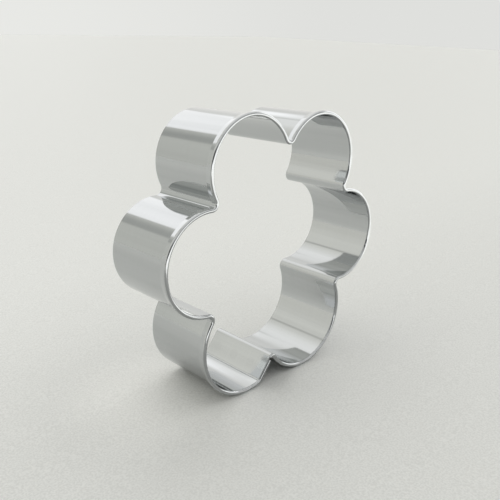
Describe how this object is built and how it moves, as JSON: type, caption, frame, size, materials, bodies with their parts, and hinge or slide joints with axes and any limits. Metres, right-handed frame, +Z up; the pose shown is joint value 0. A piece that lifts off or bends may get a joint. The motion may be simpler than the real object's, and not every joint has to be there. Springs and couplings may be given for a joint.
{
  "type": "cookie cutter",
  "caption": "Flower-shaped cookie cutter: a bent steel strip with a folded rim and a plain cutting edge, its ends lapped and spot-welded, for pressing shapes out of rolled dough.",
  "frame": {"origin": "middle of the footprint, on the surface that the cutter stands on, with the two petals beside the seam down", "axes": "+Z up, three and a half degrees off the line through the seam notch and the notch opposite it, +Y along the flower's axis from the folded rim to the cutting edge, +X across the flower, to the right when the folded rim faces the viewer"},
  "size_m": [0.0872, 0.025, 0.0828],
  "materials": {
    "stainless_strip": "bright rolled stainless sheet, soft reflections",
    "weld_metal": "pressed spot weld, slightly duller than the sheet"
  },
  "bodies": {
    "root": {"cutter_strip": "stainless_strip", "spot_weld_1": "weld_metal", "spot_weld_2": "weld_metal", "spot_weld_3": "weld_metal"}
  },
  "joints": []
}
